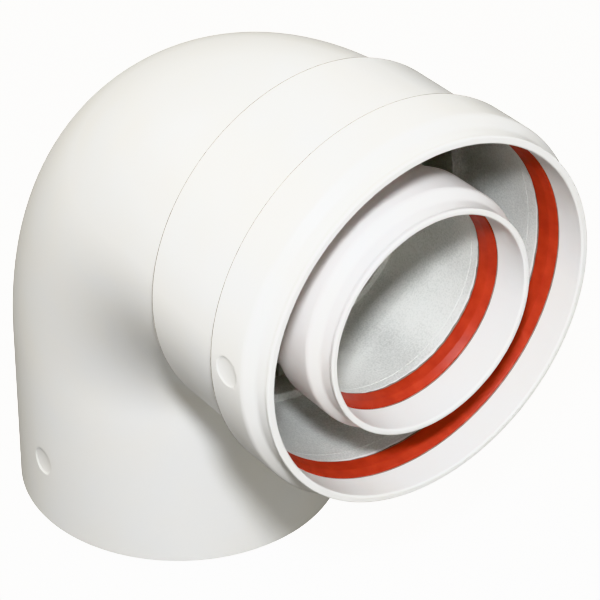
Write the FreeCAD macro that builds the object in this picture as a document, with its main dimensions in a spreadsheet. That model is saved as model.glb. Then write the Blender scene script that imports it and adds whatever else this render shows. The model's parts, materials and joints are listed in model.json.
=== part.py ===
import FreeCAD, Part
import math
import os
import re
import Sketcher

# Concentric flue elbow, 90 degrees, 60 mm flue gas duct inside a 100 mm air duct.
# Origin: centre of the lower end of the air duct. +Z runs up the spigot, +X out of the socket.
# All lengths are in millimetres.

DIMENSIONS = [
    # the path that both ducts follow
    ("leg_length", 52.5, "straight leg of the spigot"),
    ("bend_radius", 63.4, "centre line radius of the bend"),
    ("mouth_reach", 116.7, "spigot axis to the air socket's mouth"),
    ("flue_setback", 0.2, "flue duct's ends behind the air duct's ends"),
    # stations along the socket, from the spigot axis
    ("sleeve_start", 65.1, "back edge of both socket sleeves"),
    ("socket_stop", 66.3, "end face that an inserted pipe meets"),
    ("tail_end", 77.0, "end of the bend's tail inside the sleeve"),
    ("fit_gap", 0.05, "clearance of pressed and bonded fits"),
    # air duct
    ("air_spigot_dia", 100.0, "outside of the bend and spigot"),
    ("air_inner_dia", 96.2, "inside of the bend and spigot"),
    ("air_bore_dia", 101.0, "bore of the socket"),
    ("air_tail_dia", 103.4, "outside of the tail in the sleeve"),
    ("air_tongue_dia", 103.6, "inside of the sleeve's tongue"),
    ("air_sleeve_dia", 106.0, "outside of the sleeve"),
    ("air_collar_dia", 111.5, "outside of the collar"),
    ("air_neck_dia", 106.4, "foot of the collar's shoulder"),
    ("air_valley_dia", 104.9, "narrowest place behind the lip"),
    ("air_lip_dia", 106.5, "outside of the lip"),
    ("air_mouth_dia", 102.0, "inside of the lip"),
    ("air_groove_dia", 108.0, "bottom of the seal groove"),
    ("air_collar_start", 95.4, "back edge of the collar"),
    ("air_land_start", 95.4, "joint line inside the socket"),
    ("air_slot_end", 98.8, "bottom of the slot for the tongue"),
    ("air_seal_back", 99.8, "back wall of the seal groove"),
    ("air_seal_front", 107.4, "front wall of the seal groove"),
    ("air_back_round", 0.35, "round on the collar's back edge"),
    # flue gas duct
    ("flue_spigot_dia", 60.0, "outside of the bend and spigot"),
    ("flue_inner_dia", 57.0, "inside of the bend and spigot"),
    ("flue_bore_dia", 60.8, "bore of the socket"),
    ("flue_tail_dia", 62.8, "outside of the tail in the sleeve"),
    ("flue_tongue_dia", 63.2, "inside of the sleeve's tongue"),
    ("flue_sleeve_dia", 65.4, "outside of the sleeve"),
    ("flue_collar_dia", 70.3, "outside of the collar"),
    ("flue_neck_dia", 66.0, "foot of the collar's shoulder"),
    ("flue_valley_dia", 64.6, "narrowest place behind the lip"),
    ("flue_lip_dia", 65.6, "outside of the lip"),
    ("flue_mouth_dia", 62.2, "inside of the lip"),
    ("flue_groove_dia", 67.2, "bottom of the seal groove"),
    ("flue_collar_start", 93.5, "back edge of the collar"),
    ("flue_land_start", 95.4, "joint line inside the socket"),
    ("flue_slot_end", 97.9, "bottom of the slot for the tongue"),
    ("flue_seal_back", 98.8, "back wall of the seal groove"),
    ("flue_seal_front", 105.4, "front wall of the seal groove"),
    ("flue_back_round", 1.8, "round on the collar's back edge"),
    # both collars, from the mouth backwards
    ("shoulder_top", 7.7, "mouth to the start of the shoulder"),
    ("shoulder_foot", 5.2, "mouth to the foot of the shoulder"),
    ("valley_back", 2.0, "mouth to the narrowest place"),
    ("lip_length", 0.9, "length of the lip's cylinder"),
    ("shoulder_round", 1.2, "round at the top of the shoulder"),
    ("lip_round", 0.6, "rounds on the lip's edges"),
    ("edge_chamfer", 0.5, "chamfer on the spigots' ends"),
    ("sleeve_round", 0.35, "round on the sleeves' back edge"),
    # seals, both ducts, with the lip pressed back as a pipe holds it
    ("seal_gap", 0.1, "seal to the walls of its groove"),
    ("seal_rim", 0.15, "how far the seal's front stands below the lip bore"),
    ("seal_stand", 0.2, "how far the pressed lip stands into the bore"),
    ("seal_edge", 0.5, "thickness of the lip's edge"),
    ("seal_root", 1.2, "thickness of the base at its back"),
    # round marks pressed in both flanks
    ("mark_ball", 9.7, "radius of the ball that presses the mark"),
    ("mark_depth", 0.95, "depth of the mark"),
    ("leg_mark_height", 22.0, "spigot end to the middle of its mark"),
    ("collar_mark_reach", 102.4, "spigot axis to the middle of the collar's mark"),
    # spacer clips between the ducts, in the frame of the straight tube that they are bent for
    ("clip_low", 16.0, "lower edge of a clip"),
    ("clip_high", 24.0, "upper edge of a clip"),
    ("clip_foot_dia", 60.5, "inside of a clip's foot"),
    ("clip_crown_dia", 95.9, "outside of a clip's crown"),
    ("clip_thickness", 0.8, "thickness of the strip"),
    ("clip_foot_half", 6.6, "half the width between the legs' feet"),
    ("clip_crown_half", 4.4, "half the width between the legs' tops"),
    ("clip_foot_start", 11.2, "start of a foot, from the clip's middle"),
    ("clip_foot_arc", 12.5, "arc of a foot"),
    ("clip_crown_angle", 11.6, "arc of the crown"),
    ("clip_socket_angle", 83.0, "place of the socket's clips round the bend"),
    ("clip_spigot_angle", 7.0, "place of the spigot's clips round the bend"),
]

doc = FreeCAD.newDocument("flue_elbow")
sheet = doc.addObject("Spreadsheet::Sheet", "Dims")
for row, (alias, size, note) in enumerate(DIMENSIONS, start=1):
    sheet.set(f"A{row}", note)
    sheet.set(f"B{row}", str(size))
    sheet.setAlias(f"B{row}", alias)
doc.recompute()

ORIGIN = FreeCAD.Vector(0, 0, 0)
UP_THE_SKETCH = FreeCAD.Vector(0, 1, 0)
SOCKET_HEIGHT = "leg_length + bend_radius"
MOUTH = {"air": "mouth_reach", "flue": "mouth_reach - flue_setback"}
SPIGOT_END = {"air": "0", "flue": "flue_setback"}


def bound(text):
    """An expression on the sheet's cells, from the same expression on their plain names."""
    return re.sub(r"[a-z][a-z_]*[a-z]", r"Dims.\g<0>", text)


def value(text):
    """The number that an expression on the sheet's cells gives now."""
    return float(sheet.evalExpression(bound(text)))


def new_body(label):
    body = doc.addObject("PartDesign::Body", label)
    body.Label = label
    return body


def origin_plane(body, role):
    return next(item for item in body.Origin.OriginFeatures if item.Role == role)


def new_sketch(body, name, plane):
    """A sketch on one of the body's own origin planes."""
    sketch = body.newObject("Sketcher::SketchObject", name)
    sketch.AttachmentSupport = [(origin_plane(body, plane), "")]
    sketch.MapMode = "FlatFace"
    return sketch


def constrain(sketch, expression, kind, *items):
    """Adds a dimension to a sketch and binds it to the sheet."""
    index = sketch.addConstraint(Sketcher.Constraint(kind, *items, value(expression)))
    sketch.setExpression(f"Constraints[{index}]", bound(expression))


def draw_outline(sketch, corners):
    """Closes a straight-sided outline through corners given as pairs of expressions."""
    places = [FreeCAD.Vector(value(across), value(up), 0) for across, up in corners]
    count = len(corners)
    for index in range(count):
        sketch.addGeometry(Part.LineSegment(places[index], places[(index + 1) % count]))
    for index in range(count):
        sketch.addConstraint(Sketcher.Constraint("Coincident", index, 2, (index + 1) % count, 1))
    for index, (across, up) in enumerate(corners):
        constrain(sketch, across, "DistanceX", -1, 1, index, 1)
        constrain(sketch, up, "DistanceY", -1, 1, index, 1)


def turn_on_x(body, name, corners):
    """Turns an outline of (reach, radius) corners about the body's X axis."""
    sketch = new_sketch(body, f"{name}_section", "XZ_Plane")
    draw_outline(sketch, corners)
    turned = body.newObject("PartDesign::Revolution", name)
    turned.Profile = sketch
    turned.ReferenceAxis = (sketch, ["H_Axis"])
    turned.Angle = 360.0
    sketch.Visibility = False
    doc.recompute()
    return turned


def lift_to_socket(body):
    """Raises a body turned about its own X axis to the socket's axis."""
    body.setExpression("Placement.Base.z", bound(SOCKET_HEIGHT))


def circle_names(feature, places, along="x"):
    """Names of the circular edges at the given (reach, radius) places on an axis."""
    names = []
    for reach, radius in places:
        for index, edge in enumerate(feature.Shape.Edges, start=1):
            curve = edge.Curve
            if not isinstance(curve, Part.Circle):
                continue
            near_reach = abs(getattr(curve.Center, along) - value(reach)) < 1e-3
            if near_reach and abs(curve.Radius - value(radius)) < 1e-3:
                names.append(f"Edge{index}")
    return names


def dress_edges(body, kind, name, size, places, along="x"):
    """Rounds (Fillet, Radius) or bevels (Chamfer, Size) circular edges of the body's last feature."""
    base = body.Tip
    feature = body.newObject(f"PartDesign::{kind}", name)
    feature.Base = (base, circle_names(base, places, along))
    size_property = "Radius" if kind == "Fillet" else "Size"
    feature.setExpression(size_property, bound(size))
    doc.recompute()
    return feature


def mirror_in_xz(body, name, features):
    """Mirrors features in the body's XZ plane, which is the plane of the bend."""
    pair = body.newObject("PartDesign::Mirrored", name)
    pair.Originals = features
    pair.MirrorPlane = (origin_plane(body, "XZ_Plane"), [""])
    body.Tip = pair
    doc.recompute()


def press_marks(body, name, reach, surface_dia, along):
    """Presses a round mark in the -Y flank and mirrors it to the +Y flank."""
    ball = body.newObject("PartDesign::SubtractiveSphere", name)
    ball.setExpression("Radius", bound("mark_ball"))
    ball.setExpression(f"Placement.Base.{along}", bound(reach))
    centre = f"mark_depth - mark_ball - {surface_dia} / 2"
    ball.setExpression("Placement.Base.y", bound(centre))
    doc.recompute()
    mirror_in_xz(body, f"{name}_pair", [ball])


def draw_path(sketch, start):
    """Centre line: up the leg, round the bend and out to the back edge of the sleeve."""
    leg, radius = value("leg_length"), value("bend_radius")
    height = leg + radius
    low = FreeCAD.Vector(0, value(start), 0)
    top = FreeCAD.Vector(0, leg, 0)
    corner = FreeCAD.Vector(radius, height, 0)
    end = FreeCAD.Vector(value("sleeve_start"), height, 0)
    round_corner = Part.Circle(FreeCAD.Vector(radius, leg, 0), FreeCAD.Vector(0, 0, 1), radius)
    up_leg = sketch.addGeometry(Part.LineSegment(low, top))
    bend = sketch.addGeometry(Part.ArcOfCircle(round_corner, math.pi / 2, math.pi))
    out = sketch.addGeometry(Part.LineSegment(corner, end))
    sketch.addConstraint(Sketcher.Constraint("Vertical", up_leg))
    sketch.addConstraint(Sketcher.Constraint("PointOnObject", up_leg, 1, -2))
    sketch.addConstraint(Sketcher.Constraint("Tangent", up_leg, 2, bend, 2))
    sketch.addConstraint(Sketcher.Constraint("Tangent", bend, 1, out, 1))
    sketch.addConstraint(Sketcher.Constraint("Horizontal", out))
    if value(start) > 0:
        constrain(sketch, start, "DistanceY", -1, 1, up_leg, 1)
    else:
        sketch.addConstraint(Sketcher.Constraint("PointOnObject", up_leg, 1, -1))
    constrain(sketch, "leg_length", "DistanceY", -1, 1, up_leg, 2)
    constrain(sketch, "bend_radius", "Radius", bend)
    constrain(sketch, "sleeve_start", "DistanceX", -1, 1, out, 2)


def draw_ring(sketch, outer_dia, inner_dia):
    """Two circles round the sketch's origin."""
    for diameter in (outer_dia, inner_dia):
        circle = Part.Circle(FreeCAD.Vector(0, 0, 0), FreeCAD.Vector(0, 0, 1), value(diameter) / 2)
        index = sketch.addGeometry(circle)
        sketch.addConstraint(Sketcher.Constraint("Coincident", index, 3, -1, 1))
        constrain(sketch, f"{diameter} / 2", "Radius", index)


def make_bend(kind, label):
    """A bent duct: spigot leg, 90 degree bend and a wider tail that the sleeve fits over."""
    body = new_body(label)
    path = new_sketch(body, f"{label}_path", "XZ_Plane")
    draw_path(path, SPIGOT_END[kind])
    ring = new_sketch(body, f"{label}_ring", "XY_Plane")
    draw_ring(ring, f"{kind}_spigot_dia", f"{kind}_inner_dia")
    if SPIGOT_END[kind] != "0":
        ring.setExpression("AttachmentOffset.Base.z", bound(SPIGOT_END[kind]))
    doc.recompute()
    pipe = body.newObject("PartDesign::AdditivePipe", f"{label}_tube")
    pipe.Profile = ring
    pipe.Spine = path
    doc.recompute()

    tail = new_sketch(body, f"{label}_tail_section", "XZ_Plane")
    corners = [
        ("sleeve_start", f"{kind}_inner_dia / 2"),
        ("sleeve_start", f"{kind}_tail_dia / 2"),
        ("tail_end", f"{kind}_tail_dia / 2"),
        ("tail_end", f"{kind}_bore_dia / 2"),
        ("socket_stop", f"{kind}_bore_dia / 2"),
        ("socket_stop", f"{kind}_inner_dia / 2"),
    ]
    draw_outline(tail, corners)
    tail.setExpression("AttachmentOffset.Base.y", bound(SOCKET_HEIGHT))
    turned = body.newObject("PartDesign::Revolution", f"{label}_tail")
    turned.Profile = tail
    turned.ReferenceAxis = (tail, ["H_Axis"])
    turned.Angle = 360.0
    doc.recompute()
    end_rim = [(SPIGOT_END[kind], f"{kind}_spigot_dia / 2")]
    dress_edges(body, "Chamfer", f"{label}_lead_in", "edge_chamfer", end_rim, along="z")
    return body


def make_sleeve(kind, label):
    """A socket sleeve: counterbored over the bend's tail, with a tongue for the collar's slot."""
    body = new_body(label)
    corners = [
        ("sleeve_start", f"{kind}_tail_dia / 2 + fit_gap"),
        ("sleeve_start", f"{kind}_sleeve_dia / 2"),
        (f"{kind}_slot_end - 4 * fit_gap", f"{kind}_sleeve_dia / 2"),
        (f"{kind}_slot_end - 4 * fit_gap", f"{kind}_tongue_dia / 2"),
        (f"{kind}_land_start - fit_gap", f"{kind}_tongue_dia / 2"),
        (f"{kind}_land_start - fit_gap", f"{kind}_bore_dia / 2"),
        ("tail_end + fit_gap", f"{kind}_bore_dia / 2"),
        ("tail_end + fit_gap", f"{kind}_tail_dia / 2 + fit_gap"),
    ]
    turn_on_x(body, f"{label}_turned", corners)
    back = [("sleeve_start", f"{kind}_sleeve_dia / 2")]
    dress_edges(body, "Fillet", f"{label}_back", "sleeve_round", back)
    lift_to_socket(body)
    return body


def make_collar(kind, label):
    """A socket collar: slot for the sleeve's tongue, seal groove, shoulder and flared lip."""
    body = new_body(label)
    mouth = MOUTH[kind]
    corners = [
        (f"{kind}_collar_start", f"{kind}_sleeve_dia / 2 + fit_gap"),
        (f"{kind}_collar_start", f"{kind}_collar_dia / 2"),
        (f"{mouth} - shoulder_top", f"{kind}_collar_dia / 2"),
        (f"{mouth} - shoulder_foot", f"{kind}_neck_dia / 2"),
        (f"{mouth} - valley_back", f"{kind}_valley_dia / 2"),
        (f"{mouth} - lip_length", f"{kind}_lip_dia / 2"),
        (mouth, f"{kind}_lip_dia / 2"),
        (mouth, f"{kind}_mouth_dia / 2"),
        (f"{kind}_seal_front", f"{kind}_mouth_dia / 2"),
        (f"{kind}_seal_front", f"{kind}_groove_dia / 2"),
        (f"{kind}_seal_back", f"{kind}_groove_dia / 2"),
        (f"{kind}_seal_back", f"{kind}_bore_dia / 2"),
        (f"{kind}_land_start", f"{kind}_bore_dia / 2"),
        (f"{kind}_land_start", f"{kind}_tongue_dia / 2 - fit_gap"),
        (f"{kind}_slot_end", f"{kind}_tongue_dia / 2 - fit_gap"),
        (f"{kind}_slot_end", f"{kind}_sleeve_dia / 2 + fit_gap"),
    ]
    turn_on_x(body, f"{label}_turned", corners)
    lip = [(mouth, f"{kind}_lip_dia / 2"), (mouth, f"{kind}_mouth_dia / 2")]
    dress_edges(body, "Fillet", f"{label}_lip", "lip_round", lip)
    shoulder = [(f"{mouth} - shoulder_top", f"{kind}_collar_dia / 2")]
    dress_edges(body, "Fillet", f"{label}_shoulder", "shoulder_round", shoulder)
    back = [(f"{kind}_collar_start", f"{kind}_collar_dia / 2")]
    dress_edges(body, "Fillet", f"{label}_back", f"{kind}_back_round", back)
    lift_to_socket(body)
    return body


def make_seal(kind, label):
    """A lip seal in its groove: a base, and a lip that a pipe has pressed back over a hollow."""
    body = new_body(label)
    back = f"{kind}_seal_back + seal_gap"
    front = f"{kind}_seal_front - seal_gap"
    base = f"{kind}_groove_dia / 2 - seal_gap"
    tip = f"{kind}_bore_dia / 2 - seal_stand"
    corners = [
        (back, base),
        (front, base),
        (front, f"{kind}_mouth_dia / 2 - seal_rim"),
        (back, tip),
        (back, f"{tip} + seal_edge"),
        (f"({back} + {front}) / 2", f"{tip} + seal_root"),
        (back, f"{base} - seal_root"),
    ]
    turn_on_x(body, f"{label}_turned", corners)
    lift_to_socket(body)
    return body


def turn_band(body, name, inside, start_angle, arc):
    """A band of strip turned about the tube's axis, from a start angle through an arc."""
    section = new_sketch(body, f"{name}_section", "XZ_Plane")
    outside = f"{inside} + clip_thickness"
    draw_outline(section, [(inside, "clip_low"), (outside, "clip_low"),
                           (outside, "clip_high"), (inside, "clip_high")])
    turn = FreeCAD.Rotation(UP_THE_SKETCH, value(start_angle))
    section.AttachmentOffset = FreeCAD.Placement(ORIGIN, turn)
    section.setExpression("AttachmentOffset.Rotation.Angle", bound(start_angle))
    band = body.newObject("PartDesign::Revolution", name)
    band.Profile = section
    band.ReferenceAxis = (section, ["V_Axis"])
    band.setExpression("Angle", bound(arc))
    doc.recompute()
    return band


def make_clip(label, bend_angle, round_angle):
    """A spacer clip bent from strip: crown in the air duct, two legs, two feet on the flue duct.

    It is made for a straight tube along its body's Z axis, with its crown towards +X, and then
    placed at bend_angle round the bend and turned by round_angle about the tube, where 0 faces
    the inside of the bend.
    """
    body = new_body(label)
    crown_inside = "clip_crown_dia / 2 - clip_thickness"
    turn_band(body, f"{label}_crown", crown_inside, "-clip_crown_angle / 2", "clip_crown_angle")

    section = new_sketch(body, f"{label}_leg_section", "XY_Plane")
    foot = "clip_foot_dia / 2 + clip_thickness / 4"
    crown = "clip_crown_dia / 2 - clip_thickness / 4"
    draw_outline(section, [(foot, "clip_foot_half - clip_thickness"), (foot, "clip_foot_half"),
                           (crown, "clip_crown_half"), (crown, "clip_crown_half - clip_thickness")])
    section.setExpression("AttachmentOffset.Base.z", bound("clip_low"))
    leg = body.newObject("PartDesign::Pad", f"{label}_leg")
    leg.Profile = section
    leg.setExpression("Length", bound("clip_high - clip_low"))
    doc.recompute()

    foot = turn_band(body, f"{label}_foot", "clip_foot_dia / 2", "clip_foot_start", "clip_foot_arc")
    mirror_in_xz(body, f"{label}_other_leg", [leg, foot])

    turn = math.radians(value(bend_angle))
    radius = value("bend_radius")
    height = value("leg_length") + radius * math.sin(turn)
    station = FreeCAD.Vector(radius * (1 - math.cos(turn)), 0, height)
    tangent = FreeCAD.Vector(math.sin(turn), 0, math.cos(turn))
    middle = value("(clip_low + clip_high) / 2")
    lean = FreeCAD.Rotation(FreeCAD.Vector(0, 1, 0), value(bend_angle))
    spin = FreeCAD.Rotation(FreeCAD.Vector(0, 0, 1), round_angle)
    body.Placement = FreeCAD.Placement(station - tangent * middle, lean * spin)
    return body


for kind in ("air", "flue"):
    bend = make_bend(kind, f"{kind}_bend")
    make_sleeve(kind, f"{kind}_socket_sleeve")
    collar = make_collar(kind, f"{kind}_socket_collar")
    make_seal(kind, f"{kind}_socket_seal")
    if kind == "air":
        press_marks(bend, "leg_mark", "leg_mark_height", "air_spigot_dia", along="z")
        press_marks(collar, "collar_mark", "collar_mark_reach", "air_collar_dia", along="x")

for side, round_angle in (("outer", 180), ("left", 60), ("right", -60)):
    make_clip(f"socket_spacer_{side}", "clip_socket_angle", round_angle)
    make_clip(f"spigot_spacer_{side}", "clip_spigot_angle", round_angle)

doc.recompute()

for item in doc.Objects:
    if any(mark in item.State for mark in ("Invalid", "Error")):
        raise RuntimeError(f"{item.Label} failed: {item.State}")

os.makedirs("parts", exist_ok=True)
for body in doc.findObjects("PartDesign::Body"):
    shape = body.Shape
    if shape.isNull() or not shape.isValid() or len(shape.Solids) != 1:
        raise RuntimeError(f"{body.Label} has no single valid solid")
    shape.exportStep(f"parts/{body.Label}.step")
    print(f"{body.Label}: {shape.Volume:.0f} cubic millimetres")
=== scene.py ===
import json
import math

import bmesh
import bpy
from mathutils import Matrix, Vector


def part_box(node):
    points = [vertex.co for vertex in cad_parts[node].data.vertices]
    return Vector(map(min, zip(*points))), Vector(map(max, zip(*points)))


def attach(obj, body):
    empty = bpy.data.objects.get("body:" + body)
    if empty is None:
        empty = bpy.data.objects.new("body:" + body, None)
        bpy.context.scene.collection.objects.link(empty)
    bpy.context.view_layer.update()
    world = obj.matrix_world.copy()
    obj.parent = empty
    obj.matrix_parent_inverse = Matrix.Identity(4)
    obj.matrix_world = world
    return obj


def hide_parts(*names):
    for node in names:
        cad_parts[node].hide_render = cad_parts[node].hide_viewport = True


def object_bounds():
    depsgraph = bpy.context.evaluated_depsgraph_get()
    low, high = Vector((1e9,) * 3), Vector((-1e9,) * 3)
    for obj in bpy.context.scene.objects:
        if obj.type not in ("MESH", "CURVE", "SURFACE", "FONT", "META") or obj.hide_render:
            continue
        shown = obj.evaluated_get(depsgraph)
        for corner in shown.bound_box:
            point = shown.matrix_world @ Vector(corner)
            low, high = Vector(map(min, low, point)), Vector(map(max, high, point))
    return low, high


# Concentric flue elbow: a 60 mm flue gas duct inside a 100 mm air duct, with plain spigots below
# and sealed sockets at the side. Each duct piece and seal is a section in (station, radius), where
# the station runs along the centre line of the bend, and the section is turned round that line.
# The spacer clips between the ducts keep the CAD model's own shapes.

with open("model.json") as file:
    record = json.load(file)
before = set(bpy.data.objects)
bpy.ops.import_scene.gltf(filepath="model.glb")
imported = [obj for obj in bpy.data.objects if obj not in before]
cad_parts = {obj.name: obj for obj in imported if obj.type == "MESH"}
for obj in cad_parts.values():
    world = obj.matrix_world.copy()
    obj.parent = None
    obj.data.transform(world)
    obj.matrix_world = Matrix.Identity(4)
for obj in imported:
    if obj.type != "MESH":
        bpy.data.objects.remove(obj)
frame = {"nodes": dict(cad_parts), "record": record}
cad_box = [list(corner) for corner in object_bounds()]

MM = 0.001
mounts = {mount["name"]: mount for mount in frame["record"]["mounts"]}


# ---------------------------------------------------------------------------------------------
# Driving sizes
# ---------------------------------------------------------------------------------------------

SOCKET_HEIGHT = mounts["air_socket"]["pos_m"][2]
STOP = mounts["air_socket_stop"]["pos_m"][0]
BEND_RADIUS = 63.4 * MM
LEG = SOCKET_HEIGHT - BEND_RADIUS
BEND_LENGTH = BEND_RADIUS * math.pi / 2


def at_reach(reach):
    """Station along the centre line of a place on the socket, from its X."""
    return LEG + BEND_LENGTH + reach - BEND_RADIUS


def centre_line(station):
    """Point on the centre line, and the direction from there to the outside of the bend."""
    turn = min(max((station - LEG) / BEND_RADIUS, 0.0), math.pi / 2)
    outward = Vector((-math.cos(turn), 0, math.sin(turn)))
    along = Vector((math.sin(turn), 0, math.cos(turn)))
    rest = station - LEG - turn * BEND_RADIUS
    return Vector((BEND_RADIUS, 0, LEG)) + BEND_RADIUS * outward + rest * along, outward


def on_duct(station, radius, angle):
    """Point at a radius from the centre line, where angle 0 is the outside of the bend."""
    centre, outward = centre_line(station)
    towards = math.cos(angle) * outward + math.sin(angle) * Vector((0, -1, 0))
    return centre + radius * towards


# ---------------------------------------------------------------------------------------------
# Sections and turned pieces
# ---------------------------------------------------------------------------------------------

# Faces along each rounded corner of a section.
ARC_STEPS = 6
# Edges that turn by more than this between two faces stay crisp.
SHARPEST_ROUND = math.radians(38)


def with_rounds(corners):
    """A closed outline through (station, radius, round, finish) corners, with an arc at each.

    A finish runs from its corner to the next one."""
    outline = []
    for index, (station, radius, size, finish) in enumerate(corners):
        here = Vector((station, radius))
        before = (Vector(corners[index - 1][:2]) - here).normalized()
        after = (Vector(corners[(index + 1) % len(corners)][:2]) - here).normalized()
        if size == 0:
            outline.append((here, finish))
            continue
        half = before.angle(after) / 2
        start = here + before * size / math.tan(half)
        end = here + after * size / math.tan(half)
        centre = here + (before + after).normalized() * size / math.sin(half)
        for step in range(ARC_STEPS + 1):
            share = step / ARC_STEPS
            spoke = (start - centre) * (1 - share) + (end - centre) * share
            outline.append((centre + spoke.normalized() * size, finish))
    return outline


def divided(outline, longest):
    """The same outline with no stretch longer than a length."""
    points = []
    for index, (here, finish) in enumerate(outline):
        there = outline[(index + 1) % len(outline)][0]
        pieces = max(1, math.ceil((there - here).length / longest))
        points += [(here.lerp(there, step / pieces), finish) for step in range(pieces)]
    return points


def turned(name, corners, finishes, around, longest=2.0 * MM, wave=None):
    """A solid ring: the outline of the corners, turned once round the centre line.

    Faces are no longer than a length, and a wave may shift each point along and outwards."""
    points = divided(with_rounds(corners), longest)
    mesh = bmesh.new()
    rings = []
    for place, finish in points:
        ring = []
        for step in range(around):
            angle = 2 * math.pi * step / around
            shift = wave(place, angle) if wave else Vector((0, 0))
            ring.append(mesh.verts.new(on_duct(place.x + shift.x, place.y + shift.y, angle)))
        rings.append(ring)
    for index, (place, finish) in enumerate(points):
        ring, following = rings[index], rings[(index + 1) % len(rings)]
        for step in range(around):
            after = (step + 1) % around
            face = mesh.faces.new((ring[step], ring[after], following[after], following[step]))
            face.material_index = finish
            face.smooth = True
    bmesh.ops.recalc_face_normals(mesh, faces=mesh.faces)
    return placed(name, mesh, finishes)


def placed(name, mesh, finishes):
    """Turns a mesh into a piece with its finishes, and frees the mesh."""
    data = bpy.data.meshes.new(name)
    mesh.to_mesh(data)
    mesh.free()
    data.set_sharp_from_angle(angle=SHARPEST_ROUND)
    for finish in finishes:
        data.materials.append(finish)
    piece = bpy.data.objects.new(name, data)
    bpy.context.scene.collection.objects.link(piece)
    return piece


MARK_RADIUS = 4.2 * MM
MARK_DEPTH = 0.55 * MM
# Half the side of the square patch of skin that a mark's own faces take the place of.
MARK_PATCH = 5.6 * MM
# Rings of faces round a mark, as shares of the way in from the patch's border to its edge, and
# rings in its dish, as shares of its radius.
SKIN_RINGS = (0.35, 0.7, 1.0)
DISH_RINGS = (0.985, 0.96, 0.9, 0.8, 0.65, 0.45, 0.25)


def press_mark(piece, station, angle, skin_radius):
    """Presses a round dish in a straight duct's skin, at a station and an angle."""
    mesh = bmesh.new()
    mesh.from_mesh(piece.data)
    middle = on_duct(station, skin_radius, angle)
    centre, _ = centre_line(station)
    out = (middle - centre).normalized()
    along = (centre_line(station + MM)[0] - centre).normalized()
    side = out.cross(along)

    def flat_place(point):
        """Where a point lies on the flat sheet that touches the skin at the mark's middle."""
        offset = point - middle
        return Vector((offset.dot(along), offset.dot(side)))

    def on_skin(place):
        """The point of the round skin over a place on that sheet."""
        rise = math.sqrt(skin_radius ** 2 - place.y ** 2) - skin_radius
        return middle + place.x * along + place.y * side + rise * out

    taken = []
    for face in mesh.faces:
        spot = face.calc_center_median()
        place = flat_place(spot)
        near_skin = (spot - middle).dot(out) > -MM
        if near_skin and max(abs(place.x), abs(place.y)) < MARK_PATCH:
            taken.append(face)
    finish = taken[0].material_index
    edges = {edge for face in taken for edge in face.edges}
    rim = [edge for edge in edges if sum(face in taken for face in edge.link_faces) == 1]
    border = {vert for edge in rim for vert in edge.verts}
    bmesh.ops.delete(mesh, geom=taken, context="FACES")
    border = sorted(border, key=lambda vert: math.atan2(*flat_place(vert.co)))

    ring = border
    spots = [flat_place(vert.co) for vert in border]
    directions = [spot.normalized() for spot in spots]
    steps = [("skin", share) for share in SKIN_RINGS]
    steps += [("dish", share) for share in DISH_RINGS]
    for kind, share in steps:
        fresh = []
        for spot, direction in zip(spots, directions):
            if kind == "skin":
                fresh.append(mesh.verts.new(on_skin(spot.lerp(direction * MARK_RADIUS, share))))
            else:
                place = direction * MARK_RADIUS * share
                depth = MARK_DEPTH * math.sqrt(1 - share ** 2)
                fresh.append(mesh.verts.new(on_skin(place) - depth * out))
        for index in range(len(ring)):
            after = (index + 1) % len(ring)
            face = mesh.faces.new((ring[index], ring[after], fresh[after], fresh[index]))
            face.material_index = finish
            face.smooth = True
        ring = fresh
    bottom = mesh.verts.new(middle - MARK_DEPTH * out)
    for index in range(len(ring)):
        face = mesh.faces.new((ring[index], ring[(index + 1) % len(ring)], bottom))
        face.material_index = finish
        face.smooth = True
    bmesh.ops.recalc_face_normals(mesh, faces=mesh.faces)
    mesh.to_mesh(piece.data)
    mesh.free()


# ---------------------------------------------------------------------------------------------
# Finishes
# ---------------------------------------------------------------------------------------------

def linear(hex_colour):
    """Linear RGBA from an sRGB hex colour."""
    channels = [int(hex_colour[i:i + 2], 16) / 255 for i in (1, 3, 5)]
    return [c / 12.92 if c <= 0.04045 else ((c + 0.055) / 1.055) ** 2.4 for c in channels] + [1.0]


def add_node(material, kind, inputs, **settings):
    """Adds a node with its settings. Each input is a value, or the output socket that feeds it."""
    node = material.node_tree.nodes.new(kind)
    for name, value in settings.items():
        setattr(node, name, value)
    for place, value in inputs.items():
        if isinstance(value, bpy.types.NodeSocket):
            material.node_tree.links.new(node.inputs[place], value)
        else:
            node.inputs[place].default_value = value
    return node


def new_material(name):
    """A material with an empty node tree."""
    material = bpy.data.materials.new(name)
    material.use_nodes = True
    material.node_tree.nodes.clear()
    return material


def per_metre(size):
    """Texture scale of a pattern whose grains are one size across, in metres."""
    return 1 / size


# Where the colour sockets of a Mix node stand, when it is set to mix colours.
COLOUR_A, COLOUR_B, MIXED_COLOUR = 6, 7, 2


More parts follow.
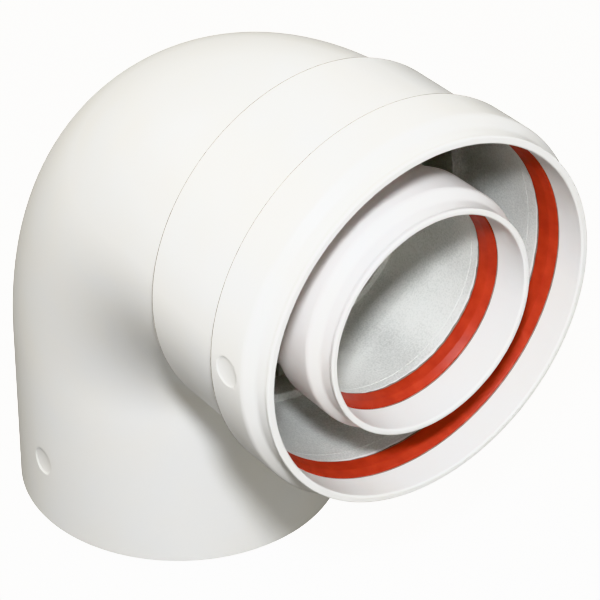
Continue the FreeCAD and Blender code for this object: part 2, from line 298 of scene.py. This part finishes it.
def white_powder_coat():
    """White polyester powder, sprayed and baked: an even satin white with a faint orange peel."""
    material = new_material("white_powder_coat")
    place = add_node(material, "ShaderNodeTexCoord", {}).outputs["Object"]
    # Film thickness drifts over about 25 mm, which turns the white a little warmer or cooler.
    drift = add_node(material, "ShaderNodeTexNoise",
                     {"Vector": place, "Scale": per_metre(25 * MM), "Detail": 2.0})
    # Pigment grain is far too fine to show, so it is drawn 0.4 mm across.
    grain = add_node(material, "ShaderNodeTexNoise",
                     {"Vector": place, "Scale": per_metre(0.4 * MM), "Detail": 1.0})
    tone = add_node(material, "ShaderNodeMix",
                    {"Factor": drift.outputs["Fac"], COLOUR_A: linear("#f6f4ef"),
                     COLOUR_B: linear("#f1f3f5")}, data_type="RGBA")
    speckled = add_node(material, "ShaderNodeMix",
                        {"Factor": 0.05, COLOUR_A: tone.outputs[MIXED_COLOUR],
                         COLOUR_B: grain.outputs["Color"]}, data_type="RGBA", blend_type="OVERLAY")
    # Baked powder pulls into an orange peel of about 1.5 mm, some hundredths of a millimetre high.
    peel = add_node(material, "ShaderNodeTexNoise",
                    {"Vector": place, "Scale": per_metre(1.5 * MM), "Detail": 1.0})
    skin = add_node(material, "ShaderNodeBump",
                    {"Height": peel.outputs["Fac"], "Distance": 0.03 * MM, "Strength": 0.5})
    satin = add_node(material, "ShaderNodeMapRange",
                     {"Value": drift.outputs["Fac"], "To Min": 0.36, "To Max": 0.44})
    shader = add_node(material, "ShaderNodeBsdfPrincipled",
                      {"Base Color": speckled.outputs[MIXED_COLOUR], "IOR": 1.5,
                       "Roughness": satin.outputs["Result"], "Normal": skin.outputs["Normal"]})
    add_node(material, "ShaderNodeOutputMaterial", {"Surface": shader.outputs["BSDF"]})
    return material


def oversprayed_aluminium():
    """Bare drawn aluminium dusted with stray powder: dull grey metal under a fine pale speckle."""
    material = new_material("oversprayed_aluminium")
    place = add_node(material, "ShaderNodeTexCoord", {}).outputs["Object"]
    # Powder grains are about 0.05 mm, so they are drawn as clusters of 0.5 mm.
    grains = add_node(material, "ShaderNodeTexNoise",
                      {"Vector": place, "Scale": per_metre(0.5 * MM), "Detail": 2.0})
    # The dust lies thicker in patches of about 30 mm.
    patches = add_node(material, "ShaderNodeTexNoise",
                       {"Vector": place, "Scale": per_metre(30 * MM), "Detail": 2.0})
    # Even the barest metal is half covered, and where both patterns are thick no metal shows.
    depth = add_node(material, "ShaderNodeMath",
                     {0: grains.outputs["Fac"], 1: patches.outputs["Fac"]}, operation="ADD")
    dust = add_node(material, "ShaderNodeMapRange",
                    {"Value": depth.outputs["Value"], "From Min": 0.75, "From Max": 1.15,
                     "To Min": 0.55, "To Max": 1.0})
    metal = add_node(material, "ShaderNodeMapRange",
                     {"Value": dust.outputs["Result"], "To Min": 1.0, "To Max": 0.0})
    colour = add_node(material, "ShaderNodeMix",
                      {"Factor": dust.outputs["Result"], COLOUR_A: linear("#bcc0bd"),
                       COLOUR_B: linear("#e4e6e3")}, data_type="RGBA")
    skin = add_node(material, "ShaderNodeBump",
                    {"Height": grains.outputs["Fac"], "Distance": 0.05 * MM, "Strength": 0.6})
    shader = add_node(material, "ShaderNodeBsdfPrincipled",
                      {"Base Color": colour.outputs[MIXED_COLOUR], "Roughness": 0.62,
                       "Metallic": metal.outputs["Result"], "Normal": skin.outputs["Normal"]})
    add_node(material, "ShaderNodeOutputMaterial", {"Surface": shader.outputs["BSDF"]})
    return material


def moulded_silicone():
    """Silicone rubber from a smooth mould: deep orange red with a soft sheen, dulled by talc."""
    material = new_material("moulded_silicone")
    place = add_node(material, "ShaderNodeTexCoord", {}).outputs["Object"]
    # Flow marks of the moulding, about 4 mm long.
    flow = add_node(material, "ShaderNodeTexNoise",
                    {"Vector": place, "Scale": per_metre(4 * MM), "Detail": 3.0})
    colour = add_node(material, "ShaderNodeMix",
                      {"Factor": flow.outputs["Fac"], COLOUR_A: linear("#952f24"),
                       COLOUR_B: linear("#c44c38")}, data_type="RGBA")
    # Talc on the rubber is finer than it is drawn here, at 0.3 mm.
    talc = add_node(material, "ShaderNodeTexNoise",
                    {"Vector": place, "Scale": per_metre(0.3 * MM), "Detail": 1.0})
    skin = add_node(material, "ShaderNodeBump",
                    {"Height": talc.outputs["Fac"], "Distance": 0.02 * MM, "Strength": 0.4})
    sheen = add_node(material, "ShaderNodeMapRange",
                     {"Value": talc.outputs["Fac"], "To Min": 0.3, "To Max": 0.5})
    shader = add_node(material, "ShaderNodeBsdfPrincipled",
                      {"Base Color": colour.outputs[MIXED_COLOUR], "IOR": 1.41,
                       "Roughness": sheen.outputs["Result"], "Normal": skin.outputs["Normal"]})
    add_node(material, "ShaderNodeOutputMaterial", {"Surface": shader.outputs["BSDF"]})
    return material


def painted_joint_shade():
    """Painted shade for the joint lines and the seal's edges: matt, warm grey brown, patchy along
    the gap.
    """
    material = new_material("painted_joint_shade")
    place = add_node(material, "ShaderNodeTexCoord", {}).outputs["Object"]
    # The painted shade is broken into clots of about 2 mm.
    clots = add_node(material, "ShaderNodeTexNoise",
                     {"Vector": place, "Scale": per_metre(2 * MM), "Detail": 3.0})
    colour = add_node(material, "ShaderNodeMix",
                      {"Factor": clots.outputs["Fac"], COLOUR_A: linear("#6b5a50"),
                       COLOUR_B: linear("#b0a9a0")}, data_type="RGBA")
    shader = add_node(material, "ShaderNodeBsdfPrincipled",
                      {"Base Color": colour.outputs[MIXED_COLOUR], "Roughness": 0.85})
    add_node(material, "ShaderNodeOutputMaterial", {"Surface": shader.outputs["BSDF"]})
    return material


def rolled_stainless():
    """Cold rolled stainless strip: grey metal with fine marks of the roll along the strip."""
    material = new_material("rolled_stainless")
    place = add_node(material, "ShaderNodeTexCoord", {}).outputs["Object"]
    # Roll marks are some hundredths of a millimetre apart, drawn 0.25 mm apart and 5 mm long.
    along = add_node(material, "ShaderNodeMapping",
                     {"Vector": place, "Scale": (0.05, 1.0, 1.0)})
    marks = add_node(material, "ShaderNodeTexNoise",
                     {"Vector": along.outputs["Vector"], "Scale": per_metre(0.25 * MM)})
    colour = add_node(material, "ShaderNodeMix",
                      {"Factor": marks.outputs["Fac"], COLOUR_A: linear("#a9a8a5"),
                       COLOUR_B: linear("#c8c7c3")}, data_type="RGBA")
    polish = add_node(material, "ShaderNodeMapRange",
                      {"Value": marks.outputs["Fac"], "To Min": 0.22, "To Max": 0.38})
    shader = add_node(material, "ShaderNodeBsdfPrincipled",
                      {"Base Color": colour.outputs[MIXED_COLOUR], "Metallic": 1.0,
                       "Roughness": polish.outputs["Result"]})
    add_node(material, "ShaderNodeOutputMaterial", {"Surface": shader.outputs["BSDF"]})
    return material


# The paper gives off a little light of its own, so that it stays white at the edges of the light.
PAPER_GLOW = 2.6


def pale_paper():
    """Matt white paper off a roll: no gloss, only a faint mottle of its fibres."""
    material = new_material("pale_paper")
    place = add_node(material, "ShaderNodeTexCoord", {}).outputs["Object"]
    # Fibre clouds in the paper, about 8 mm across.
    fibres = add_node(material, "ShaderNodeTexNoise",
                      {"Vector": place, "Scale": per_metre(8 * MM), "Detail": 3.0})
    colour = add_node(material, "ShaderNodeMix",
                      {"Factor": fibres.outputs["Fac"], COLOUR_A: linear("#f6f6f6"),
                       COLOUR_B: linear("#fafafa")}, data_type="RGBA")
    shader = add_node(material, "ShaderNodeBsdfPrincipled",
                      {"Base Color": colour.outputs[MIXED_COLOUR], "Roughness": 0.9,
                       "Emission Color": linear("#ffffff"), "Emission Strength": PAPER_GLOW})
    add_node(material, "ShaderNodeOutputMaterial", {"Surface": shader.outputs["BSDF"]})
    return material


white = white_powder_coat()
bare = oversprayed_aluminium()
silicone = moulded_silicone()
painted_shade = painted_joint_shade()
stainless = rolled_stainless()
# Places of the finishes on a duct's pieces, and on a seal. The duct's third finish and the seal's
# second are the painted shade.
COATED, BARE, JOINT = 0, 1, 2
RUBBER, SHADED_EDGE = 0, 1


# ---------------------------------------------------------------------------------------------
# Sizes of the two ducts, in millimetres: reach is X on the socket, radius is from the centre line
# ---------------------------------------------------------------------------------------------

# Play between two fitted pieces, round a seal in its groove, and at the end of a sleeve's tongue.
PLAY = 0.05
SEAL_PLAY = 0.1
TONGUE_PLAY = 0.2
# Where a sleeve's inside ends and its collar's takes over.
LAND_START = 95.4


def mount_radius(name):
    """Radius of a round mount."""
    return mounts[name]["dims"]["r_mm"]


def reach_of(node):
    """Lowest and highest reach of a CAD node."""
    low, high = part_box(node)
    return low.x / MM, high.x / MM


def radius_of(node):
    """Largest radius of a CAD node on the socket, from how far it stands over the socket's axis."""
    return (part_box(node)[1].z - SOCKET_HEIGHT) / MM


def duct_sizes(kind, **shape):
    """Every size of one duct: those of its CAD pieces and mounts, and those of its own shape."""
    seal_back, seal_front = reach_of(f"{kind}_socket_seal")
    collar_start, end = reach_of(f"{kind}_socket_collar")
    sleeve_start, tongue_end = reach_of(f"{kind}_socket_sleeve")
    return {
        "spigot": mount_radius(f"{kind}_spigot"),
        "spigot_end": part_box(f"{kind}_bend")[0].z / MM,
        "bore": mount_radius(f"{kind}_socket"),
        "tail": radius_of(f"{kind}_bend"),
        "tail_end": reach_of(f"{kind}_bend")[1],
        "sleeve": radius_of(f"{kind}_socket_sleeve"),
        "sleeve_start": sleeve_start,
        "tongue_end": tongue_end,
        "slot_end": tongue_end + TONGUE_PLAY,
        "collar": radius_of(f"{kind}_socket_collar"),
        "collar_start": collar_start,
        "end": end,
        "groove": radius_of(f"{kind}_socket_seal") + SEAL_PLAY,
        "seal_back": seal_back,
        "seal_front": seal_front,
        **shape,
    }


# Radii of each duct's inside, of the sleeve's tongue, of the collar's profile from its shoulder to
# its mouth, and of the seal's tip while no pipe is in. The back round is that of the collar's back
# edge, and around is the number of faces in a turn.
AIR = duct_sizes("air", inner=48.1, tongue=51.8, neck=53.15, valley=52.7, lip=53.2, mouth=51.0,
                 back_round=0.35, seal_tip=49.5, around=288)
FLUE = duct_sizes("flue", inner=28.5, tongue=31.6, neck=32.9, valley=32.5, lip=32.85, mouth=31.1,
                  back_round=1.8, seal_tip=29.2, around=216)

# Distances behind a collar's end: the shoulder's top and foot, the valley and the back of the lip.
SHOULDER_TOP, SHOULDER_FOOT, VALLEY, LIP_BACK = 8.0, 5.2, 1.9, 0.8
# Rounds of the shoulder and the valley, and of the lip's back, its front and the mouth inside it.
SHOULDER_ROUND, VALLEY_ROUND = 2.4, 1.6
LIP_BACK_ROUND, LIP_ROUND, MOUTH_ROUND = 0.3, 0.5, 0.6
# The spray reaches about this far past the seal groove.
PAINTED_LAND = 1.1
# The fine line in the coating in front of a back edge, a groove whose faces carry painted shade, and
# how much lower the edge is.
SEAM_START, SEAM_WIDTH, SEAM_DEPTH = 0.26, 0.24, 0.4
EDGE_DROP = 0.1
# A collar whose back edge is rounder than this has no such line.
ROUNDEST_SEAM = 1.0


# ---------------------------------------------------------------------------------------------
# Ducts, sleeves, collars and seals
# ---------------------------------------------------------------------------------------------

def section(*corners):
    """Corners of a section on the socket, each (reach, radius, round, finish) in millimetres."""
    return [(at_reach(reach * MM), radius * MM, size * MM, finish)
            for reach, radius, size, finish in corners]


def seam(start, radius):
    """Corners of the line in the coating, just in front of a back edge that starts at a reach; the
    line's faces carry painted shade.
    """
    return ((start + SEAM_START, radius, 0, JOINT),
            (start + SEAM_START + SEAM_WIDTH / 2, radius - SEAM_DEPTH, 0, JOINT),
            (start + SEAM_START + SEAM_WIDTH, radius, 0, COATED))


def make_bend(name, duct):
    """Spigot leg, bend, and the tail that the sleeve slides over."""
    low = duct["spigot_end"] * MM
    corners = [
        (low, duct["inner"] * MM, 0.3 * MM, BARE),
        (low, duct["spigot"] * MM, 0.5 * MM, COATED),
        *section(
            (duct["sleeve_start"], duct["spigot"], 0, COATED),
            (duct["sleeve_start"], duct["tail"], 0, BARE),
            (duct["tail_end"], duct["tail"], 0, BARE),
            (duct["tail_end"], duct["bore"], 0, BARE),
            (STOP / MM, duct["bore"], 0, BARE),
            (STOP / MM, duct["inner"], 0.3, BARE),
        ),
    ]
    return turned(name, corners, (white, bare, painted_shade), duct["around"])


def make_sleeve(name, duct):
    """Sleeve over the bend's tail, with a tongue that stands in the collar's slot."""
    corners = section(
        (duct["sleeve_start"], duct["tail"] + PLAY, 0, COATED),
        (duct["sleeve_start"], duct["sleeve"] - EDGE_DROP, 0.1, COATED),
        *seam(duct["sleeve_start"], duct["sleeve"]),
        (duct["tongue_end"], duct["sleeve"], 0.2, BARE),
        (duct["tongue_end"], duct["tongue"], 0.2, BARE),
        (LAND_START - PLAY, duct["tongue"], 0, BARE),
        (LAND_START - PLAY, duct["bore"], 0.15, BARE),
        (duct["tail_end"] + PLAY, duct["bore"], 0, BARE),
        (duct["tail_end"] + PLAY, duct["tail"] + PLAY, 0, BARE),
    )
    return turned(name, corners, (white, bare, painted_shade), duct["around"])


def make_collar(name, duct):
    """Collar with the tongue's slot, a seal groove, a shoulder and a flared lip."""
    end = duct["end"]
    groove_back, groove_front = duct["seal_back"] - SEAL_PLAY, duct["seal_front"] + SEAL_PLAY
    has_seam = duct["back_round"] < ROUNDEST_SEAM
    corners = section(
        (duct["collar_start"], duct["sleeve"] + PLAY, 0.15, COATED),
        (duct["collar_start"], duct["collar"] - EDGE_DROP, duct["back_round"], COATED),
        *(seam(duct["collar_start"], duct["collar"]) if has_seam else ()),
        (end - SHOULDER_TOP, duct["collar"], SHOULDER_ROUND, COATED),
        (end - SHOULDER_FOOT, duct["neck"], SHOULDER_ROUND, COATED),
        (end - VALLEY, duct["valley"], VALLEY_ROUND, COATED),
        (end - LIP_BACK, duct["lip"], LIP_BACK_ROUND, COATED),
        (end, duct["lip"], LIP_ROUND, COATED),
        (end, duct["mouth"], MOUTH_ROUND, COATED),
        (groove_front, duct["mouth"], 0.15, COATED),
        (groove_front, duct["groove"], 0, COATED),
        (groove_back, duct["groove"], 0, COATED),
        (groove_back, duct["bore"], 0.15, COATED),
        (groove_back - PAINTED_LAND, duct["bore"], 0, BARE),
        (LAND_START, duct["bore"], 0.15, BARE),
        (LAND_START, duct["tongue"] - PLAY, 0, BARE),
        (duct["slot_end"], duct["tongue"] - PLAY, 0, BARE),
        (duct["slot_end"], duct["sleeve"] + PLAY, 0, BARE),
    )
    return turned(name, corners, (white, bare, painted_shade), duct["around"])


# A seal's back edge is trimmed by hand: it swings this far, over a strip this wide, in waves of
# (waves in a turn, share of the swing, lag in radians).
TRIM_SWING = 0.12
TRIM_WIDTH = 1.2
TRIM_WAVES = ((9, 1.0, 0.0), (31, 0.6, 1.0), (53, 0.5, 0.0))


def make_seal(name, duct):
    """Lip seal: a foot in the groove, and a lip that slopes in from the front edge to its tip."""
    back, front = duct["seal_back"], duct["seal_front"]
    rim = duct["mouth"] - SEAL_PLAY
    base = duct["groove"] - SEAL_PLAY
    tip = duct["seal_tip"]
    length = front - back
    corners = section(
        (back, base, 0.2, RUBBER),
        (front, base, 0.2, SHADED_EDGE),
        # A ledge just behind the groove's front edge carries painted shade.
        (front, rim + 0.4, 0, SHADED_EDGE),
        (front - 0.45, rim + 0.35, 0, RUBBER),
        # The face that the pipe slides over bulges a little between the rim and the tip.
        (front - 0.55, rim - 0.05, 0.3, RUBBER),
        (front - 0.4 * length, (rim + tip) / 2 - 0.15, 2.5, RUBBER),
        (back + 0.75, tip, 0.5, RUBBER),
        # The trimmed edge falls back to the groove's wall, and painted shade lies on it.
        (back + 0.6, tip + 0.45, 0, SHADED_EDGE),
        (back, tip + 0.5, 0, RUBBER),
        # Behind the lip the rubber is hollow, so that the lip can give.
        (back, tip + 0.9, 0.15, RUBBER),
        (back + 0.42 * length, rim + 0.8, 0.4, RUBBER),
        (back, rim + 1.7, 0.2, RUBBER),
    )

    def trimmed_edge(place, angle):
        """How far the lip's edge shifts along the duct. The foot and the hollow stay in place."""
        if place.y > (tip + 0.6) * MM:
            return Vector((0, 0))
        nearness = max(0.0, 1 - (place.x - at_reach(back * MM)) / (TRIM_WIDTH * MM))
        swing = sum(share * math.sin(waves * angle + lag) for waves, share, lag in TRIM_WAVES)
        return Vector((TRIM_SWING * MM * nearness * swing, 0))

    return turned(name, corners, (silicone, painted_shade), duct["around"], 0.8 * MM, trimmed_edge)


def finish_piece(piece, node):
    """Evens the shading, ties the piece to the elbow and lets it stand for its CAD node."""
    shading = piece.modifiers.new("even_shading", "WEIGHTED_NORMAL")
    shading.keep_sharp = True
    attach(piece, "root")
    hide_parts(node)


# Places of the pressed marks: up the spigot leg, and the reach on the collar.
LEG_MARK = 22.0 * MM
COLLAR_MARK = 102.4 * MM

for kind, duct, outside in (("air", AIR, "white_powder_coat"), ("flue", FLUE, "bare_aluminium")):
    bend = make_bend(f"{kind}_bend_piece", duct)
    sleeve = make_sleeve(f"{kind}_socket_sleeve_piece", duct)
    collar = make_collar(f"{kind}_socket_collar_piece", duct)
    seal = make_seal(f"{kind}_socket_seal_piece", duct)
    if kind == "air":
        for angle in (math.pi / 2, -math.pi / 2):
            press_mark(bend, LEG_MARK, angle, duct["spigot"] * MM)
            press_mark(collar, at_reach(COLLAR_MARK), angle, duct["collar"] * MM)
    finish_piece(bend, f"{kind}_bend")
    finish_piece(sleeve, f"{kind}_socket_sleeve")
    finish_piece(collar, f"{kind}_socket_collar")
    finish_piece(seal, f"{kind}_socket_seal")

for end in ("socket", "spigot"):
    for side in ("outer", "left", "right"):
        clip = frame["nodes"][f"{end}_spacer_{side}"]
        clip.data.materials.clear()
        clip.data.materials.append(stainless)


# ---------------------------------------------------------------------------------------------
# Floor, light and camera
# ---------------------------------------------------------------------------------------------

FLOOR_REACH = 4.0
FLOOR_GAP = 0.1 * MM


def make_floor():
    """A plain sheet under the elbow, a hair below it so that the two don't share a face."""
    mesh = bmesh.new()
    bmesh.ops.create_grid(mesh, x_segments=1, y_segments=1, size=FLOOR_REACH)
    floor = placed("floor", mesh, (pale_paper(),))
    floor.location.z = cad_box[0][2] - FLOOR_GAP
    # The paper would throw more light on the undersides than a studio's darker surroundings do.
    floor.visible_diffuse = False
    floor.visible_glossy = False


def add_light(name, place, size, power, colour):
    """A round light of a size in metres and a power in watts, aimed at the elbow."""
    data = bpy.data.lights.new(name, "AREA")
    data.color = linear(colour)[:3]
    data.shape = "DISK"
    data.size = size
    data.energy = power
    light = bpy.data.objects.new(name, data)
    light.location = place
    light.rotation_euler = (VIEW_TARGET - place).to_track_quat("-Z", "Y").to_euler()
    bpy.context.scene.collection.objects.link(light)


# The camera's direction in degrees round the elbow and above it, its tilt, the point it looks at
# and its distance from there in metres, and its lens in millimetres on a 36 mm sensor.
VIEW_AZIMUTH = 52.6
VIEW_ELEVATION = 33.8
VIEW_ROLL = 0.94
VIEW_DISTANCE = 0.7191
VIEW_TARGET = Vector((0.05952, 0, 0.09246))
LENS = 155.45
SENSOR = 36.0
NEAREST_SEEN = 10 * MM


def direction(azimuth, elevation):
    """Unit vector from the target, with azimuth 0 in front of the elbow, along -Y."""
    turn, rise = math.radians(azimuth), math.radians(elevation)
    return Vector((math.sin(turn) * math.cos(rise), -math.cos(turn) * math.cos(rise),
                   math.sin(rise)))


view_back = direction(VIEW_AZIMUTH, VIEW_ELEVATION)
view_right = direction(VIEW_AZIMUTH + 90, 0)
view_up = view_back.cross(view_right)


def make_camera():
    """The camera, on its line to the target and tilted by its roll."""
    roll = math.radians(VIEW_ROLL)
    across = math.cos(roll) * view_right + math.sin(roll) * view_up
    upright = math.cos(roll) * view_up - math.sin(roll) * view_right
    data = bpy.data.cameras.new("camera")
    data.lens = LENS
    data.sensor_width = SENSOR
    data.clip_start = NEAREST_SEEN
    camera = bpy.data.objects.new("camera", data)
    turn = Matrix((across, upright, view_back)).transposed()
    camera.matrix_world = Matrix.Translation(VIEW_TARGET + VIEW_DISTANCE * view_back) @ turn.to_4x4()
    bpy.context.scene.collection.objects.link(camera)
    bpy.context.scene.camera = camera


# The main light is a small lamp just above the camera, and is a touch cooler than the room.
LAMP_RISE = 115 * MM
LAMP_SIZE = 0.07
LAMP_POWER = 5.5
LAMP_WHITE = "#f9fbff"
ROOM_WHITE = "#fffbf1"
# Wide soft lights round the elbow: name, azimuth and elevation in degrees, power in watts.
SOFT_LIGHTS = (
    ("soft_left", -55, 36, 13.5),
    ("soft_right", 110, 30, 3.5),
    ("soft_back", 230, 45, 6.0),
    ("soft_low", 55, 4, 5.0),
)
SOFT_DISTANCE = 1.6
SOFT_SIZE = 1.0
ROOM_STRENGTH = 0.17

make_floor()
lamp = VIEW_TARGET + VIEW_DISTANCE * view_back + LAMP_RISE * view_up
add_light("lamp", lamp, LAMP_SIZE, LAMP_POWER, LAMP_WHITE)
for name, azimuth, elevation, power in SOFT_LIGHTS:
    place = VIEW_TARGET + SOFT_DISTANCE * direction(azimuth, elevation)
    add_light(name, place, SOFT_SIZE, power, ROOM_WHITE)
make_camera()

world = bpy.data.worlds.new("studio")
world.use_nodes = True
background = world.node_tree.nodes["Background"]
background.inputs["Color"].default_value = linear(ROOM_WHITE)
background.inputs["Strength"].default_value = ROOM_STRENGTH
bpy.context.scene.world = world
bpy.context.scene.view_settings.view_transform = "Khronos PBR Neutral"
